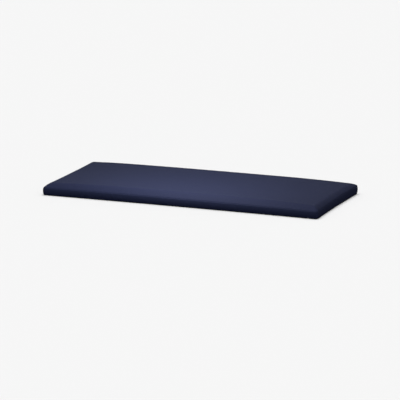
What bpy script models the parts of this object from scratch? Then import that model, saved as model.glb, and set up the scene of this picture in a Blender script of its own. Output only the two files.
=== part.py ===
"""Cushion for a two-seat garden bench: a foam-filled cloth pad, modelled as one filled solid.

Metres, +Z up. +X runs along the bench and -Y is the front edge. The origin is the middle of the
flat underside, on which the pad lies.
"""

import bmesh
import bpy

# Driving dimensions of the filled pad.
LENGTH = 1.162          # over the side band at its fullest, near the corners
DEPTH = 0.490           # the same from front to back
HEIGHT = 0.0555         # from the underside to the top of the crown
CROWN = 0.0025          # how far the middle of the top stands above its long edges
ENDS_DROP = 0.007       # how much lower the top is at the ends than halfway along
SEAM_HEIGHT = 0.032     # where the top panel meets the side band, halfway along
SEAM_DROP = 0.002       # how much lower that seam is at the ends
DRAW_IN_LONG = 0.006    # how far the front and the back pull in, halfway between the corners
DRAW_IN_ENDS = 0.004    # the same at the two short ends
BASE_TUCK = 0.002       # how far the bottom edge sits inside the top seam

# How far in from the edge the rows of the cage lie that round each form.
SHOULDER_LONG = (0.0, 0.010, 0.026, 0.055)   # top panel above its seam, along the long edges
SHOULDER_ENDS = (0.0, 0.006, 0.016, 0.045)   # the same at the ends
SHOULDER_RISE = (0.0, 0.64, 1.0, 1.0)        # share of the panel's full height at these rows
BASE_ROWS = (0.0, 0.006, 0.020, 0.055)       # underside
CORNER_ROWS = (0.0, 0.014, 0.030, 0.055)     # the four upright corners

# Rows of faces each way in the cage, and how often Subdivision Surface splits them.
ROWS_ALONG = 12
ROWS_ACROSS = 8
SMOOTHING = 2

CLOTH_COLOUR = (0.024, 0.030, 0.080, 1.0)
CLOTH_ROUGHNESS = 0.85


def clear_scene():
    """Remove every object that the opened file holds."""
    for thing in list(bpy.data.objects):
        bpy.data.objects.remove(thing, do_unlink=True)


def navy_cloth():
    """Plain matt navy upholstery cloth."""
    cloth = bpy.data.materials.new("navy_cloth")
    cloth.use_nodes = True
    shader = cloth.node_tree.nodes["Principled BSDF"]
    shader.inputs["Base Color"].default_value = CLOTH_COLOUR
    shader.inputs["Roughness"].default_value = CLOTH_ROUGHNESS
    shader.inputs["Metallic"].default_value = 0.0
    return cloth


def fullness(across):
    """1 halfway between two edges, 0 at them: flat in the middle, falling near the edges."""
    return 1.0 - across ** 4


def bow(across):
    """1 halfway between two corners, 0 at them, in one even curve."""
    return 1.0 - across ** 2


def seam_height(along):
    """Height of the top seam, a little lower towards the ends."""
    return SEAM_HEIGHT - SEAM_DROP * (1.0 - fullness(along))


def band_heights(along):
    """Heights of the side band's rows, from its bottom edge up to the top seam."""
    seam = seam_height(along)
    return (0.0, BASE_ROWS[1], seam - BASE_ROWS[1], seam)


ROWS_UP = len(band_heights(0.0)) - 1


def box_of_rows():
    """A cube from -1 to 1, cut into even rows along each axis."""
    cage = bmesh.new()
    bmesh.ops.create_cube(cage, size=2.0)
    for axis, rows in enumerate((ROWS_ALONG, ROWS_ACROSS, ROWS_UP)):
        uncut = [edge for edge in cage.edges
                 if abs(edge.verts[0].co[axis] - edge.verts[1].co[axis]) > 1.5]
        bmesh.ops.subdivide_edges(cage, edges=uncut, cuts=rows - 1, use_grid_fill=True)
    return cage


def rows_in(unit, rows):
    """How many rows a row line lies in from the nearer edge."""
    return round((1.0 - abs(unit)) * rows / 2)


def row_place(unit, rows, half, edge_rows):
    """Where a row line lies between -half and half: at `edge_rows` near the edge, then evenly."""
    inward = rows_in(unit, rows)
    side = 1.0 if unit > 0 else -1.0
    last = len(edge_rows) - 1
    if inward <= last:
        return side * (half - edge_rows[inward])
    return side * (half - edge_rows[last]) * (1.0 - (inward - last) / (rows / 2 - last))


def shoulder_rise(unit, rows):
    """Share of its full height that the top panel has reached at a row line."""
    return SHOULDER_RISE[min(rows_in(unit, rows), len(SHOULDER_RISE) - 1)]


def shape_pad(cage):
    """Move the rows of the cage to the real form of the pad."""
    for vert in cage.verts:
        unit_x, unit_y, unit_z = vert.co
        on_band = max(abs(unit_x), abs(unit_y)) > 0.999
        on_top = unit_z > 0.999
        if on_band:
            rows_x, rows_y = CORNER_ROWS, CORNER_ROWS
        elif on_top:
            rows_x, rows_y = SHOULDER_ENDS, SHOULDER_LONG
        else:
            rows_x, rows_y = BASE_ROWS, BASE_ROWS
        x = row_place(unit_x, ROWS_ALONG, LENGTH / 2, rows_x)
        y = row_place(unit_y, ROWS_ACROSS, DEPTH / 2, rows_y)
        along = 2 * x / LENGTH
        across = 2 * y / DEPTH
        height = band_heights(along)[round((unit_z + 1.0) * ROWS_UP / 2)]
        tuck = BASE_TUCK * (1.0 - height / seam_height(along))

        vert.co.x = x - along * (tuck + DRAW_IN_ENDS * bow(across))
        vert.co.y = y - across * (tuck + DRAW_IN_LONG * bow(along))
        vert.co.z = height
        if on_top:
            edge_height = HEIGHT - CROWN - ENDS_DROP * (1.0 - fullness(along))
            rise = shoulder_rise(unit_x, ROWS_ALONG) * shoulder_rise(unit_y, ROWS_ACROSS)
            vert.co.z += (edge_height - height) * rise
            vert.co.z += CROWN * fullness(along) * fullness(across)


def make_cushion(collection):
    """The pad as one closed, crowned solid."""
    cage = box_of_rows()
    shape_pad(cage)
    mesh = bpy.data.meshes.new("cushion")
    cage.to_mesh(mesh)
    cage.free()
    mesh.shade_smooth()
    mesh.materials.append(navy_cloth())

    cushion = bpy.data.objects.new("cushion", mesh)
    collection.objects.link(cushion)
    smooth = cushion.modifiers.new("soft edges", "SUBSURF")
    smooth.levels = SMOOTHING
    smooth.render_levels = SMOOTHING


clear_scene()
pad_collection = bpy.data.collections.new("bench_cushion")
bpy.context.scene.collection.children.link(pad_collection)
make_cushion(pad_collection)
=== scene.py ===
"""Looks of a navy two-seat bench cushion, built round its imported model.

Metres, +Z up, +X along its length, -Y the front edge, the underside on the floor at Z = 0.
"""

import math

import bmesh
import bpy
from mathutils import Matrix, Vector, noise


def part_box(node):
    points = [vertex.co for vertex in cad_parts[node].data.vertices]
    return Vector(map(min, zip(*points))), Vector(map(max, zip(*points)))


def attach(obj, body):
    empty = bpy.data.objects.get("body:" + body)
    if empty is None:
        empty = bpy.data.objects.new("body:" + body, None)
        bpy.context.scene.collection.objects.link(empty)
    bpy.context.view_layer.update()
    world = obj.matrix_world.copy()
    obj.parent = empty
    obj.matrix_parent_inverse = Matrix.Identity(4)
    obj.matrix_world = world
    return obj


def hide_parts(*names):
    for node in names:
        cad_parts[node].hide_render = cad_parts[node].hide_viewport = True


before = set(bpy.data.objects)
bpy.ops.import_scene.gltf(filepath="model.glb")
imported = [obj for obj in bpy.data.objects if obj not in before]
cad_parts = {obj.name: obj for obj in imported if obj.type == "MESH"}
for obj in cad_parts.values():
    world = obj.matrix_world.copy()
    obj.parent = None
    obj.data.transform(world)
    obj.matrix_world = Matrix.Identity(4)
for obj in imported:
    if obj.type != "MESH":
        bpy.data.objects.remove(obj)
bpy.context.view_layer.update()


# ----------------------------------------------------------------------------------------------
# The filled cover
#
# A top panel and a bottom panel of one woven cloth, sewn to a side band all round and stuffed
# tight with a foam slab. The foam crowns the top, and the panel comes down over its edge to the
# top seam. The seams pull in a little halfway between the corners.

low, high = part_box("cushion")
HALF_LENGTH = high.x
HALF_DEPTH = high.y
HEIGHT = high.z
CROWN = 0.0025           # middle of the top above its long edges
ENDS_DROP = 0.007        # top at the ends below the top halfway along
SEAM_HEIGHT = 0.032      # the top seam above the floor, halfway along
SEAM_DROP = 0.002        # the same seam at the ends, below that
SEAM_RISE = 0.006        # the same seam at the back, above that at the front
DRAW_IN_LONG = 0.006     # front and back edge, halfway between the corners
DRAW_IN_ENDS = 0.004
SHOULDER_LONG = 0.030    # how far in from the seam the panel reaches its full height
SHOULDER_ENDS = 0.024    # the same at the two ends
ROUND_LONG = 1.35        # 1 slopes evenly up to that line, 2 rounds over all the way
ROUND_ENDS = 1.5
CORNER_RADIUS = 0.010    # the upright corners, in plan
BASE_RADIUS = 0.007      # the foam's bottom edge
BASE_SEAM_ANGLE = math.radians(45)   # where the bottom seam lies on that edge, below level
BASE_BEND_ANGLE = math.radians(68)   # where the bottom panel bends once more, further round
BASE_SEAM_INSET = BASE_RADIUS * (1.0 - math.cos(BASE_SEAM_ANGLE))
BASE_SEAM_HEIGHT = BASE_RADIUS * (1.0 - math.sin(BASE_SEAM_ANGLE))
BAND_SWELL = 0.0015      # side band between its two seams, past the seams
CELL = 0.006             # one face of the cover as it is simulated, halved afterwards
ON_EDGE = 0.999          # the cover starts as a cube from -1 to 1: a point past this is at its side
UNCUT = 1.5              # the cube's edges are longer than this until they are cut into rows
FACING = 0.5             # share of a face's normal along an axis for it to face that way
SAME_PLACE = 1e-6        # points nearer to each other than this are one

QUALITY = 4              # steps of the simulation in each frame
PRESSURE = 20.0          # of the filling
STRETCH_STIFFNESS = 20.0
BEND_STIFFNESS = 0.2
FOAM_HOLD = 0.45         # how firmly the foam keeps the cloth in its shape, from 0 to 1
SEAM_HOLD = 0.95         # the same on the top seam
ON_SEAM = 1e-5           # a point nearer to the top seam than this is on it
EASE = 0.02              # how much longer the cloth beside the top seam is than the seam
EASE_REACH = 0.040       # how far from the seam that fades out
SETTLE_FRAMES = 20
MOST_MOVE = 0.005        # how far a point may move

UNEVEN = 0.0006          # soft hollows and rises of the foam under the top panel
UNEVEN_SIZE = 0.16       # across one of them
PUCKER = 0.00045         # small gathers where the sewing has drawn the cloth in
PUCKER_PITCH = 0.011     # from one to the next along a seam
LONG_PUCKER = 3.1        # longer gathers under those, in pitches
LONG_PUCKER_SHARE = 0.5
PUCKER_REACH = 0.004     # where they are deepest, from the seam
PUCKER_END = 8.0         # where they stop, in reaches
SEEN_FROM = 0.03         # a point's place along a seam is seen from this far inside the outline
SEAM_WIDTH = 0.0032      # groove over a seam, from lip to lip
SEAM_DEPTH = 0.0010
SEAM_LIP = 0.0003        # how far the cloth stands up beside it


def fullness(across):
    """1 halfway between two edges, 0 at them: flat in the middle, falling near the edges."""
    return 1.0 - min(abs(across), 1.0) ** 4


def bow(across):
    """1 halfway between two corners, 0 at them, in one even curve."""
    return 1.0 - min(abs(across), 1.0) ** 2


def seam_height(x, y):
    """Height of the top seam, a little lower towards the ends and higher towards the back."""
    at_front = SEAM_HEIGHT - SEAM_DROP * (1.0 - fullness(x / HALF_LENGTH))
    return at_front + SEAM_RISE * (0.5 + 0.5 * y / HALF_DEPTH)


def rounded_plan(x, y, half_x, half_y, radius):
    """Draw the square corners of a rectangle into quarter circles."""
    out_x = abs(x) - (half_x - radius)
    out_y = abs(y) - (half_y - radius)
    if out_x <= 0 or out_y <= 0:
        return x, y
    shrink = max(out_x, out_y) / math.hypot(out_x, out_y)
    return (math.copysign(half_x - radius + out_x * shrink, x),
            math.copysign(half_y - radius + out_y * shrink, y))


def drawn_in(x, y):
    """Pull the sides in between the corners."""
    along = x / HALF_LENGTH
    across = y / HALF_DEPTH
    return (x - DRAW_IN_ENDS * along * bow(across),
            y - DRAW_IN_LONG * across * bow(along))


def shoulder_rise(from_seam, reach, roundness):
    """Share of its full height that the panel has reached, that far in from the seam."""
    return 1.0 - (1.0 - min(from_seam / reach, 1.0)) ** roundness


def panel_point(unit_x, unit_y):
    """A point of the top panel, from -1..1 across it each way."""
    seam_x = HALF_LENGTH - BAND_SWELL
    seam_y = HALF_DEPTH - BAND_SWELL
    x = unit_x * seam_x
    y = unit_y * seam_y
    seam = seam_height(x, y)
    edge = HEIGHT - CROWN - ENDS_DROP * (1.0 - fullness(x / HALF_LENGTH))
    rise = min(shoulder_rise(seam_x - abs(x), SHOULDER_ENDS, ROUND_ENDS),
               shoulder_rise(seam_y - abs(y), SHOULDER_LONG, ROUND_LONG))
    crown = CROWN * fullness(x / HALF_LENGTH) * fullness(y / HALF_DEPTH)
    x, y = rounded_plan(x, y, seam_x, seam_y, CORNER_RADIUS - BAND_SWELL)
    x, y = drawn_in(x, y)
    return Vector((x, y, seam + (edge - seam) * rise + crown))


def band_point(unit_x, unit_y, down):
    """A point of the side band, `down` 0 at the top seam and 1 at the bottom seam."""
    top = seam_height(unit_x * HALF_LENGTH, unit_y * HALF_DEPTH)
    inset = BAND_SWELL * (2.0 * down - 1.0) ** 2 + (BASE_SEAM_INSET - BAND_SWELL) * down ** 4
    return rim_point(unit_x, unit_y, inset, top + (BASE_SEAM_HEIGHT - top) * down)


def rim_point(unit_x, unit_y, inset, height):
    """A point on the outline, moved in by `inset`, at a height."""
    half_x = HALF_LENGTH - inset
    half_y = HALF_DEPTH - inset
    radius = max(CORNER_RADIUS - inset, BAND_SWELL)
    x, y = rounded_plan(unit_x * half_x, unit_y * half_y, half_x, half_y, radius)
    x, y = drawn_in(x, y)
    return Vector((x, y, height))


def cut_into_rows(cover, counts):
    """Cut the faces of a cube into that many even rows along each axis."""
    for axis, count in enumerate(counts):
        uncut = [edge for edge in cover.edges
                 if abs(edge.verts[0].co[axis] - edge.verts[1].co[axis]) > UNCUT]
        bmesh.ops.subdivide_edges(cover, edges=uncut, cuts=count - 1, use_grid_fill=True)


def lay_out_cloth(cover):
    """Give each face its place on its own panel, in metres, as a UV map named cloth."""
    cloth = cover.loops.layers.uv.new("cloth")
    for face in cover.faces:
        facing = face.normal
        for loop in face.loops:
            x = loop.vert.co.x * HALF_LENGTH
            y = loop.vert.co.y * HALF_DEPTH
            height = loop.vert.co.z * SEAM_HEIGHT / 2
            if abs(facing.z) > FACING:
                place = (x, y)
            elif facing.y < -FACING:
                place = (x, height)
            elif facing.x > FACING:
                place = (HALF_LENGTH + HALF_DEPTH + y, height)
            elif facing.y > FACING:
                place = (2 * (HALF_LENGTH + HALF_DEPTH) - x, height)
            else:
                place = (-HALF_LENGTH - HALF_DEPTH - y, height)
            loop[cloth].uv = place


def on_band(unit):
    """Whether a point of the cube from -1 to 1 lies on one of its four upright sides."""
    return max(abs(unit.x), abs(unit.y)) > ON_EDGE


def make_cover():
    """The top panel, the band and the rolled rim of the bottom panel, open inside that rim.

    Each point keeps its distance from the top seam, above 0 on the panel and below 0 on the rest.
    """
    cover = bmesh.new()
    bmesh.ops.create_cube(cover, size=2.0)
    cut_into_rows(cover, (2 * round(HALF_LENGTH / CELL), 2 * round(HALF_DEPTH / CELL),
                          round(SEAM_HEIGHT / CELL)))
    cover.normal_update()
    lay_out_cloth(cover)
    underside = [face for face in cover.faces if face.normal.z < -FACING]
    bmesh.ops.delete(cover, geom=underside, context="FACES")

    from_seam = cover.verts.layers.float.new("from_seam")
    for edge in cover.edges:
        edge.seam = all(on_band(vert.co) and abs(vert.co.z) > ON_EDGE for vert in edge.verts)
    for vert in cover.verts:
        unit = vert.co.copy()
        if on_band(unit):
            down = (1.0 - unit.z) / 2
            vert.co = band_point(unit.x, unit.y, down)
            vert[from_seam] = -down * SEAM_HEIGHT
        else:
            vert.co = panel_point(unit.x, unit.y)
            vert[from_seam] = min((1.0 - abs(unit.x)) * HALF_LENGTH,
                                  (1.0 - abs(unit.y)) * HALF_DEPTH)
    roll_underside(cover, from_seam)
    return cover


def lay_bottom_panel(cover, faces):
    """Give the faces of the bottom panel their place on it."""
    cloth = cover.loops.layers.uv["cloth"]
    for face in faces:
        for loop in face.loops:
            loop[cloth].uv = loop.vert.co.xy


def roll_underside(cover, from_seam):
    """Roll the bottom panel under the foam's edge, up to the flat that it lies on."""
    rim = [edge for edge in cover.edges if edge.is_boundary]
    bend_inset = BASE_RADIUS * (1.0 - math.cos(BASE_BEND_ANGLE))
    bend_height = BASE_RADIUS * (1.0 - math.sin(BASE_BEND_ANGLE))
    done = BASE_SEAM_INSET
    for inset, height in ((bend_inset, bend_height), (BASE_RADIUS, 0.0), (2 * BASE_RADIUS, 0.0)):
        grown = bmesh.ops.extrude_edge_only(cover, edges=rim)["geom"]
        rim = [item for item in grown if isinstance(item, bmesh.types.BMEdge) and item.is_boundary]
        for vert in {vert for edge in rim for vert in edge.verts}:
            vert.co.x *= 1.0 - (inset - done) / HALF_LENGTH
            vert.co.y *= 1.0 - (inset - done) / HALF_DEPTH
            vert.co.z = height
            vert[from_seam] = -SEAM_HEIGHT - inset
        for edge in rim:
            edge.seam = False
        lay_bottom_panel(cover, [item for item in grown if isinstance(item, bmesh.types.BMFace)])
        done = inset


def evaluated_mesh(thing):
    """A new mesh of an object with its modifiers applied."""
    return bpy.data.meshes.new_from_object(
        thing.evaluated_get(bpy.context.evaluated_depsgraph_get()))


def padded_by_simulation(cushion):
    """Let the cloth settle round its foam, pressed out from inside.

    The underside stays, the top seam nearly so, and the foam holds the rest more loosely. Beside
    the top seam the cloth is a little longer than the seam itself.
    """
    mesh = cushion.data
    # The distances are read first, because adding vertex groups leaves the attribute out of date.
    distances = [abs(entry.value) for entry in mesh.attributes["from_seam"].data]
    held = cushion.vertex_groups.new(name="held")
    tight = cushion.vertex_groups.new(name="tight")
    for vert, distance in zip(mesh.vertices, distances):
        hold = FOAM_HOLD
        tightness = min(distance / EASE_REACH, 1.0)
        if distance < ON_SEAM:
            hold = SEAM_HOLD
            tightness = 1.0
        if vert.co.z < BASE_RADIUS:
            hold = 1.0
        held.add([vert.index], hold, "REPLACE")
        tight.add([vert.index], tightness, "REPLACE")
    start = [vert.co.copy() for vert in mesh.vertices]
    cloth = cushion.modifiers.new("cloth", "CLOTH")
    cloth.settings.vertex_group_mass = "held"
    cloth.settings.pin_stiffness = 1.0
    cloth.settings.vertex_group_shrink = "tight"
    cloth.settings.shrink_min = -EASE
    cloth.settings.shrink_max = 0.0
    cloth.settings.use_pressure = True
    cloth.settings.uniform_pressure_force = PRESSURE
    cloth.settings.effector_weights.gravity = 0.0
    cloth.settings.quality = QUALITY
    cloth.settings.tension_stiffness = STRETCH_STIFFNESS
    cloth.settings.compression_stiffness = STRETCH_STIFFNESS
    cloth.settings.bending_stiffness = BEND_STIFFNESS
    cloth.collision_settings.use_collision = False
    cloth.collision_settings.use_self_collision = False
    for number in range(1, SETTLE_FRAMES + 1):
        bpy.context.scene.frame_set(number)
    settled = evaluated_mesh(cushion)
    bpy.context.scene.frame_set(1)
    cushion.modifiers.clear()
    cushion.vertex_groups.clear()
    for vert, place, moved in zip(mesh.vertices, start, settled.vertices):
        step = moved.co - place
        if step.length > MOST_MOVE:
            step *= MOST_MOVE / step.length
        vert.co = place + step
    bpy.data.meshes.remove(settled)


def close_underside(cover):
    """Fill the hole inside the rolled edge with the flat of the bottom panel."""
    rim = [edge for edge in cover.edges if edge.is_boundary]
    lay_bottom_panel(cover, bmesh.ops.holes_fill(cover, edges=rim, sides=0)["faces"])


def seam_place(x, y):
    """Where a point near the outline falls on it, roughly, as seen from above."""
    half_x = HALF_LENGTH - SEEN_FROM
    half_y = HALF_DEPTH - SEEN_FROM
    core = Vector((max(-half_x, min(half_x, x)), max(-half_y, min(half_y, y)), 0.0))
    outward = Vector((x, y, 0.0)) - core
    if outward.length < SAME_PLACE:
        return core
    return core + outward.normalized() * SEEN_FROM


def pucker(x, y, distance):
    """Height of the gathers at a point, that far from its seam."""
    near = distance / PUCKER_REACH
    if near > PUCKER_END:
        return 0.0
    along = seam_place(x, y)
    ripple = noise.noise(along / PUCKER_PITCH)
    ripple += LONG_PUCKER_SHARE * noise.noise(along / (LONG_PUCKER * PUCKER_PITCH))
    return PUCKER * ripple * near * math.exp(1.0 - near)


def wrinkle(cover):
    """Work the gathers along the seams and the soft hollows of the foam into the cover."""
    cover.normal_update()
    from_seam = cover.verts.layers.float["from_seam"]
    moves = []
    for vert in cover.verts:
        if vert.normal.z < -FACING:
            continue
        distance = vert[from_seam]
        on_panel = distance > 0.0
        to_seam = distance if on_panel else min(-distance, SEAM_HEIGHT + distance)
        lift = pucker(vert.co.x, vert.co.y, max(to_seam, 0.0))
        if on_panel:
            inside = min(distance / SHOULDER_LONG, 1.0)
            lift += UNEVEN * inside * noise.noise(vert.co / UNEVEN_SIZE)
        moves.append((vert, vert.normal * lift))
    for vert, move in moves:
        vert.co += move


def sink_seams(cover):
    """Press the two seams in as narrow grooves between raised lips."""
    seams = [edge for edge in cover.edges if edge.seam]
    grown = bmesh.ops.bevel(cover, geom=seams, offset=SEAM_WIDTH / 2, offset_type="OFFSET",
                            segments=2, profile=0.5, affect="EDGES", material=-1)
    cover.normal_update()
    grooves = set(grown["faces"])
    for vert in {vert for face in grooves for vert in face.verts}:
        if all(face in grooves for face in vert.link_faces):
            vert.co -= vert.normal * SEAM_DEPTH
        else:
            vert.co += vert.normal * SEAM_LIP


cover = make_cover()
close_underside(cover)
cover_mesh = bpy.data.meshes.new("cushion_cover")
cover.to_mesh(cover_mesh)
cover.free()
cushion = bpy.data.objects.new("cushion_cover", cover_mesh)
bpy.context.scene.collection.objects.link(cushion)
padded_by_simulation(cushion)

# Subdivision Surface is far too slow on the many-sided underside, so it is left open for it.
cover = bmesh.new()
cover.from_mesh(cushion.data)
flat = [face for face in cover.faces if len(face.verts) > 4]
bmesh.ops.delete(cover, geom=flat, context="FACES_ONLY")
cover.to_mesh(cushion.data)
cover.free()
finer = cushion.modifiers.new("finer", "SUBSURF")
finer.levels = 1
finer.render_levels = 1
cushion.data = evaluated_mesh(cushion)
cushion.modifiers.clear()

cover = bmesh.new()
cover.from_mesh(cushion.data)
wrinkle(cover)
sink_seams(cover)
close_underside(cover)
cover.to_mesh(cushion.data)
cover.free()
cushion.data.shade_smooth()
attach(cushion, "root")
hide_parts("cushion")

THREAD = 0.0009          # from one thread of the plain weave to the next
THREAD_RELIEF = THREAD / 6   # how far a thread stands up
RELIEF_STRENGTH = 0.35
CLOTH_DARK = (0.0222, 0.0284, 0.0760, 1.0)
CLOTH_LIGHT = (0.0250, 0.0318, 0.0845, 1.0)
CLOTH_ROUGHNESS = 0.75
CLOTH_SHINE = 0.22
SHEEN = 0.01             # pale fuzz of the fibres, seen along the cloth
SHEEN_ROUGHNESS = 0.45
STREAK_STRETCH = 0.02    # a streak changes this much more slowly along its thread than across
STREAK_TONE = 0.45       # share of the streaks in the tone of the cloth
CLOUDS_PER_METRE = 7.0   # soft changes of tone over the whole cloth
CLOUD_DETAIL = 3.0
CLOUD_TONE = 0.35        # their share in the tone
WEAVE_PAINTED_SHADE = 0.25        # share of the weave's height in the tone: painted highlight along each thread's top, painted shade between the threads


def math_node(tree, operation, first, second=None, third=None):
    """Add one Math node, fed by numbers or by other nodes' outputs."""
    node = tree.nodes.new("ShaderNodeMath")
    node.operation = operation
    for socket, value in zip(node.inputs, (first, second, third)):
        if isinstance(value, bpy.types.NodeSocket):
            tree.links.new(value, socket)
        elif value is not None:
            socket.default_value = value
    return node.outputs["Value"]


def thread_arch(tree, threads):
    """Rounded height of a thread, from 0 at its sides to 1 along its middle."""
    turn = math_node(tree, "MULTIPLY", threads, math.pi)
    return math_node(tree, "ABSOLUTE", math_node(tree, "SINE", turn))


def noise_node(tree, place, scale, detail):
    """Add one noise texture at a place."""
    node = tree.nodes.new("ShaderNodeTexNoise")
    node.inputs["Scale"].default_value = scale
    node.inputs["Detail"].default_value = detail
    tree.links.new(place, node.inputs["Vector"])
    return node.outputs["Fac"]


def navy_cloth():
    """Matt navy cloth in a plain weave, each thread over one and under one, with painted shade
    between the threads and painted highlight along their tops.
    """
    cloth = bpy.data.materials.new("navy_weave")
    cloth.use_nodes = True
    tree = cloth.node_tree
    shader = tree.nodes["Principled BSDF"]
    shader.inputs["Roughness"].default_value = CLOTH_ROUGHNESS
    shader.inputs["Specular IOR Level"].default_value = CLOTH_SHINE
    shader.inputs["Sheen Weight"].default_value = SHEEN
    shader.inputs["Sheen Roughness"].default_value = SHEEN_ROUGHNESS
    shader.inputs["Sheen Tint"].default_value = (1.0, 1.0, 1.0, 1.0)

    place = tree.nodes.new("ShaderNodeUVMap")
    place.uv_map = "cloth"
    split = tree.nodes.new("ShaderNodeSeparateXYZ")
    tree.links.new(place.outputs["UV"], split.inputs["Vector"])
    across = math_node(tree, "DIVIDE", split.outputs["X"], THREAD)
    along = math_node(tree, "DIVIDE", split.outputs["Y"], THREAD)
    warp = thread_arch(tree, across)
    weft = thread_arch(tree, along)
    across_number = math_node(tree, "FLOOR", across)
    along_number = math_node(tree, "FLOOR", along)
    cell = math_node(tree, "ADD", across_number, along_number)
    warp_over = math_node(tree, "PINGPONG", cell, 1.0)
    warp_top = math_node(tree, "MULTIPLY", warp, math_node(tree, "SQRT", weft))
    weft_top = math_node(tree, "MULTIPLY", weft, math_node(tree, "SQRT", warp))
    weave = tree.nodes.new("ShaderNodeMix")
    tree.links.new(warp_over, weave.inputs["Factor"])
    tree.links.new(weft_top, weave.inputs["A"])
    tree.links.new(warp_top, weave.inputs["B"])

    thread_run = tree.nodes.new("ShaderNodeCombineXYZ")
    tree.links.new(math_node(tree, "MULTIPLY", across, STREAK_STRETCH), thread_run.inputs["X"])
    tree.links.new(along_number, thread_run.inputs["Y"])
    streaks = noise_node(tree, thread_run.outputs["Vector"], scale=1.0, detail=1.0)
    ground = tree.nodes.new("ShaderNodeTexCoord")
    clouds = noise_node(tree, ground.outputs["Object"], CLOUDS_PER_METRE, CLOUD_DETAIL)
    streak_tone = math_node(tree, "MULTIPLY", streaks, STREAK_TONE)
    cloud_tone = math_node(tree, "MULTIPLY", clouds, CLOUD_TONE)
    tone = math_node(tree, "ADD", streak_tone, cloud_tone)
    # Painted shade and highlight: the weave's height is added to the streaks and clouds, so the
    # cloth is darker between the threads and lighter along their tops.
    tone = math_node(tree, "MULTIPLY_ADD", weave.outputs["Result"], WEAVE_PAINTED_SHADE, tone)
    colour = tree.nodes.new("ShaderNodeMix")
    colour.data_type = "RGBA"
    colour.inputs["A"].default_value = CLOTH_DARK
    colour.inputs["B"].default_value = CLOTH_LIGHT
    tree.links.new(tone, colour.inputs["Factor"])
    tree.links.new(colour.outputs["Result"], shader.inputs["Base Color"])

    relief = tree.nodes.new("ShaderNodeBump")
    relief.inputs["Strength"].default_value = RELIEF_STRENGTH
    relief.inputs["Distance"].default_value = THREAD_RELIEF
    tree.links.new(weave.outputs["Result"], relief.inputs["Height"])
    tree.links.new(relief.outputs["Normal"], shader.inputs["Normal"])
    return cloth


cushion.data.materials.append(navy_cloth())


# ----------------------------------------------------------------------------------------------
# Floor
#
# A plain pale floor without an edge in view, which runs into the background. It shows in no
# reflection and throws no light on the cushion.

FLOOR_HALF = 60.0
FLOOR_COLOUR = (0.8, 0.8, 0.8, 1.0)
FLOOR_ROUGHNESS = 0.9

floor_mesh = bmesh.new()
bmesh.ops.create_grid(floor_mesh, x_segments=1, y_segments=1, size=FLOOR_HALF)
floor_data = bpy.data.meshes.new("floor")
floor_mesh.to_mesh(floor_data)
floor_mesh.free()
floor = bpy.data.objects.new("floor", floor_data)
bpy.context.scene.collection.objects.link(floor)
pale = bpy.data.materials.new("pale_floor")
pale.use_nodes = True
pale_shader = pale.node_tree.nodes["Principled BSDF"]
pale_shader.inputs["Base Color"].default_value = FLOOR_COLOUR
pale_shader.inputs["Roughness"].default_value = FLOOR_ROUGHNESS
pale_shader.inputs["Specular IOR Level"].default_value = 0.0
floor_data.materials.append(pale)
floor.visible_glossy = False
floor.visible_diffuse = False

# ----------------------------------------------------------------------------------------------
# Light
#
# A sky that is brightest overhead, a small softbox above the front edge that leans over the
# cushion, and two low cool fills, from the front right and the back left. The floor has its own.

WORLD_STRENGTH = 0.35
WORLD_COLOUR = (1.0, 1.0, 1.0, 1.0)
SKY_AXIS = (0.0, 0.20, 0.98)     # the sky is brightest this way, overhead and to the back
SKY_FROM = -0.1                  # it starts to glow at this cosine to that axis
SKY_TO = 0.9                     # and is at its full strength from this one on
SOFTBOX_WATTS = 4.1
SOFTBOX_SIZE = (0.40, 0.25)
SOFTBOX_PLACE = (-0.03, -0.33, 0.64)
SOFTBOX_LEAN = math.radians(24)      # from straight down, towards the back
FLOOR_LIGHT_STRENGTH = 2.78
FRONT_FILL = 0.8
BACK_FILL = 0.75
FILL_COLOUR = (0.82, 0.90, 1.0)
FILL_HEIGHT = math.radians(78)       # from straight down
FILL_SIDE = math.radians(38)         # to the right of the front, or left of the back
SUN_WIDTH = math.radians(60)         # of each fill and of the floor's light, seen from below

world = bpy.data.worlds.new("studio")
world.use_nodes = True
sky = world.node_tree
facing = sky.nodes.new("ShaderNodeTexCoord")
towards = sky.nodes.new("ShaderNodeVectorMath")
towards.operation = "DOT_PRODUCT"
towards.inputs[1].default_value = SKY_AXIS
overhead = sky.nodes.new("ShaderNodeMapRange")
overhead.interpolation_type = "SMOOTHSTEP"
overhead.inputs["From Min"].default_value = SKY_FROM
overhead.inputs["From Max"].default_value = SKY_TO
overhead.inputs["To Max"].default_value = WORLD_STRENGTH
sky.links.new(facing.outputs["Generated"], towards.inputs[0])
sky.links.new(towards.outputs["Value"], overhead.inputs["Value"])
sky.links.new(overhead.outputs["Result"], sky.nodes["Background"].inputs["Strength"])
sky.nodes["Background"].inputs["Color"].default_value = WORLD_COLOUR
bpy.context.scene.world = world
bpy.context.scene.view_settings.view_transform = "Standard"


def add_light(data, place, lean, lit):
    """Hang a light over one thing that it lights, and nothing else."""
    light = bpy.data.objects.new(data.name, data)
    light.location = place
    light.rotation_euler = lean
    bpy.context.scene.collection.objects.link(light)
    receivers = bpy.data.collections.new(data.name + "_lights")
    receivers.objects.link(lit)
    light.light_linking.receiver_collection = receivers


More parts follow.
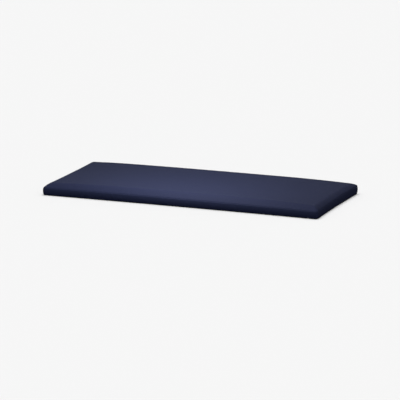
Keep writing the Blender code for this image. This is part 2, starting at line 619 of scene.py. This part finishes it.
softbox = bpy.data.lights.new("softbox", "AREA")
softbox.shape = "RECTANGLE"
softbox.size, softbox.size_y = SOFTBOX_SIZE
softbox.energy = SOFTBOX_WATTS
add_light(softbox, SOFTBOX_PLACE, (SOFTBOX_LEAN, 0.0, 0.0), cushion)

floor_light = bpy.data.lights.new("floor_light", "SUN")
floor_light.energy = FLOOR_LIGHT_STRENGTH
floor_light.angle = SUN_WIDTH
add_light(floor_light, (0.0, 0.0, 3.0), (0.0, 0.0, 0.0), floor)

for name, strength, side in (("front_fill", FRONT_FILL, FILL_SIDE),
                             ("back_fill", BACK_FILL, FILL_SIDE + math.pi)):
    fill = bpy.data.lights.new(name, "SUN")
    fill.energy = strength
    fill.color = FILL_COLOUR
    fill.angle = SUN_WIDTH
    add_light(fill, (0.0, 0.0, 1.0), (FILL_HEIGHT, 0.0, side), cushion)
# The back fill lights the cloth but shows in no reflection on it.
bpy.data.objects["back_fill"].visible_glossy = False

# ----------------------------------------------------------------------------------------------
# Camera
#
# A long lens from far off, to the right of the front and a little above the cushion.

LENS_MM = 270.8
SENSOR_MM = 36.0
FARTHEST_VIEW = 200.0
CAMERA_AZIMUTH = math.radians(21.621)     # to the right of straight ahead
CAMERA_ELEVATION = math.radians(12.802)
CAMERA_DISTANCE = 11.970
AIM_RIGHT = -0.0016                       # from the origin to the point in the picture's middle
AIM_UP = -0.0221

camera_data = bpy.data.cameras.new("camera")
camera_data.lens = LENS_MM
camera_data.sensor_width = SENSOR_MM
camera_data.clip_end = FARTHEST_VIEW
camera = bpy.data.objects.new("camera", camera_data)
back = Vector((math.sin(CAMERA_AZIMUTH) * math.cos(CAMERA_ELEVATION),
               -math.cos(CAMERA_AZIMUTH) * math.cos(CAMERA_ELEVATION),
               math.sin(CAMERA_ELEVATION)))
right = Vector((math.cos(CAMERA_AZIMUTH), math.sin(CAMERA_AZIMUTH), 0.0))
up = back.cross(right)
camera.location = back * CAMERA_DISTANCE + right * AIM_RIGHT + up * AIM_UP
camera.rotation_mode = "QUATERNION"
camera.rotation_quaternion = (-back).to_track_quat("-Z", "Y")
bpy.context.scene.collection.objects.link(camera)
bpy.context.scene.camera = camera
